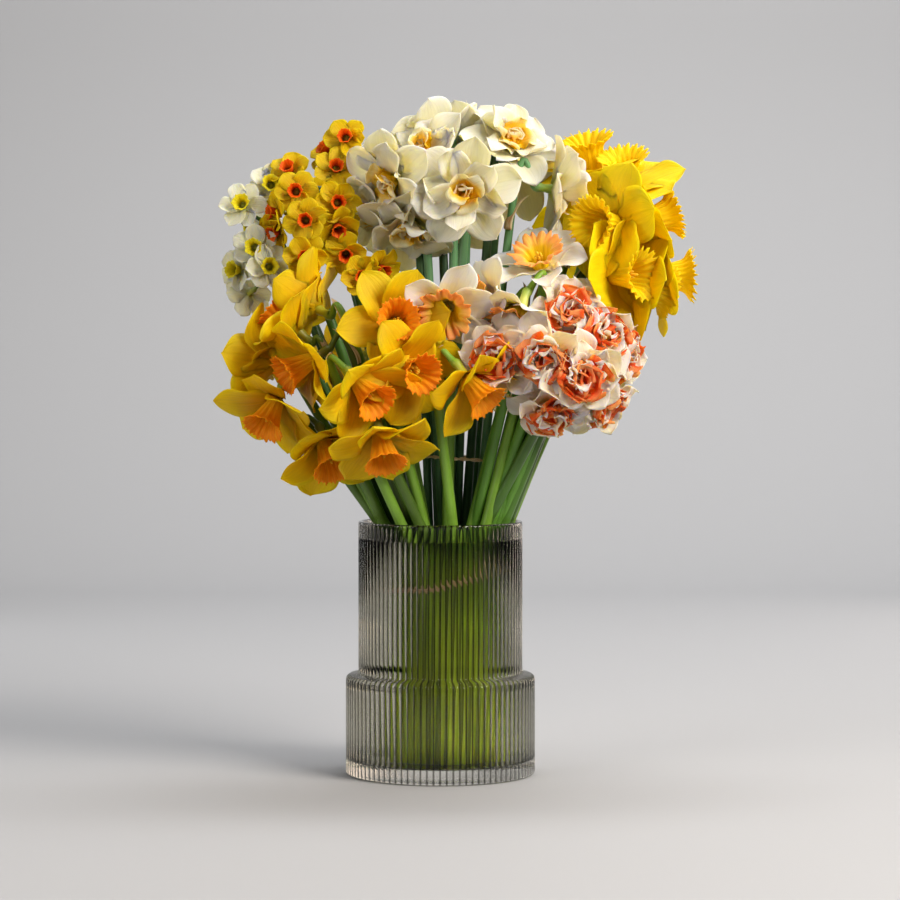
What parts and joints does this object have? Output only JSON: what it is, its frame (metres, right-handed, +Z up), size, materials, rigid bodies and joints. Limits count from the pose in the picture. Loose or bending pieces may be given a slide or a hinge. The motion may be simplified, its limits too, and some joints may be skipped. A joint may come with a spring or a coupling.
{
  "type": "daffodil bouquet in a ribbed glass vase",
  "caption": "Hand-tied bouquet of trumpet, double, split-cup and small-cupped daffodils standing in water in a stepped vase of smoke-grey ribbed glass.",
  "frame": {"origin": "centre of the vase's flat underside, on the surface it stands on", "axes": "+Z up along the vase's axis; -Y towards the front of the bouquet; +X to the viewer's right, towards the yellow trumpets"},
  "size_m": [0.3861, 0.2712, 0.5477],
  "materials": {
    "golden_petals": "satin, golden yellow with fine lengthwise veins",
    "orange_trumpets": "satin, ribbed lengthwise, deeper orange inside",
    "ivory_petals": "satin ivory",
    "apricot_cups": "satin, yellow to apricot at the frilled rim",
    "white_petals": "matte warm white",
    "coral_ruffles": "matte, coral at the edge and white at the base",
    "cream_petals": "matte creamy white, greenish at the base",
    "saffron_hearts": "matte, saffron yellow",
    "yellow_petals": "satin, clear yellow",
    "amber_petals": "satin, amber yellow",
    "orange_cups": "satin, orange red, dark inside",
    "pale_petals": "matte greyish white",
    "lime_cups": "satin, lime yellow",
    "stems": "waxy blue-green to fresh green",
    "dry_sheath": "papery, thin, brown",
    "raffia": "matte, dry fibre",
    "water": "clear",
    "smoked_glass": "polished, smoke grey, with pressed upright ribs"
  },
  "bodies": {
    "root": {"golden_trumpets_1": "golden_petals", "golden_trumpets_2": "golden_petals", "golden_trumpets_3": "golden_petals", "golden_trumpets_4": "golden_petals", "golden_trumpets_5": "golden_petals", "golden_trumpets_6": "golden_petals", "golden_trumpets_7": "golden_petals", "golden_trumpets_8": "golden_petals", "golden_trumpets_9": "golden_petals", "golden_trumpets_10": "golden_petals", "golden_trumpets_11": "golden_petals", "golden_trumpets_12": "golden_petals", "golden_trumpets_13": "golden_petals", "split_cups_1": "ivory_petals", "split_cups_2": "ivory_petals", "split_cups_3": "ivory_petals", "split_cups_4": "ivory_petals", "coral_doubles_1": "white_petals", "coral_doubles_2": "white_petals", "coral_doubles_3": "white_petals", "coral_doubles_4": "white_petals", "coral_doubles_5": "white_petals", "coral_doubles_6": "white_petals", "coral_doubles_7": "white_petals", "coral_doubles_8": "white_petals", "coral_doubles_9": "white_petals", "coral_doubles_10": "white_petals", "white_doubles_1": "cream_petals", "white_doubles_2": "cream_petals", "white_doubles_3": "cream_petals", "white_doubles_4": "cream_petals", "white_doubles_5": "cream_petals", "white_doubles_6": "cream_petals", "white_doubles_7": "cream_petals", "white_doubles_8": "cream_petals", "white_doubles_9": "cream_petals", "white_doubles_10": "cream_petals", "white_doubles_11": "cream_petals", "white_doubles_12": "cream_petals", "yellow_trumpets_1": "yellow_petals", "yellow_trumpets_2": "yellow_petals", "yellow_trumpets_3": "yellow_petals", "yellow_trumpets_4": "yellow_petals", "yellow_trumpets_5": "yellow_petals", "yellow_trumpets_6": "yellow_petals", "yellow_trumpets_7": "yellow_petals", "yellow_trumpets_8": "yellow_petals", "yellow_trumpets_9": "yellow_petals", "orange_cup_head_top": "amber_petals", "orange_cup_head_low": "amber_petals", "orange_cup_head_right": "amber_petals", "orange_cup_head_back": "amber_petals", "lime_cup_head_top": "pale_petals", "lime_cup_head_low": "pale_petals", "lime_cup_head_back": "pale_petals", "stems": "stems", "tie_lower": "raffia", "tie_upper": "raffia", "water": "water", "vase": "smoked_glass"}
  },
  "joints": []
}
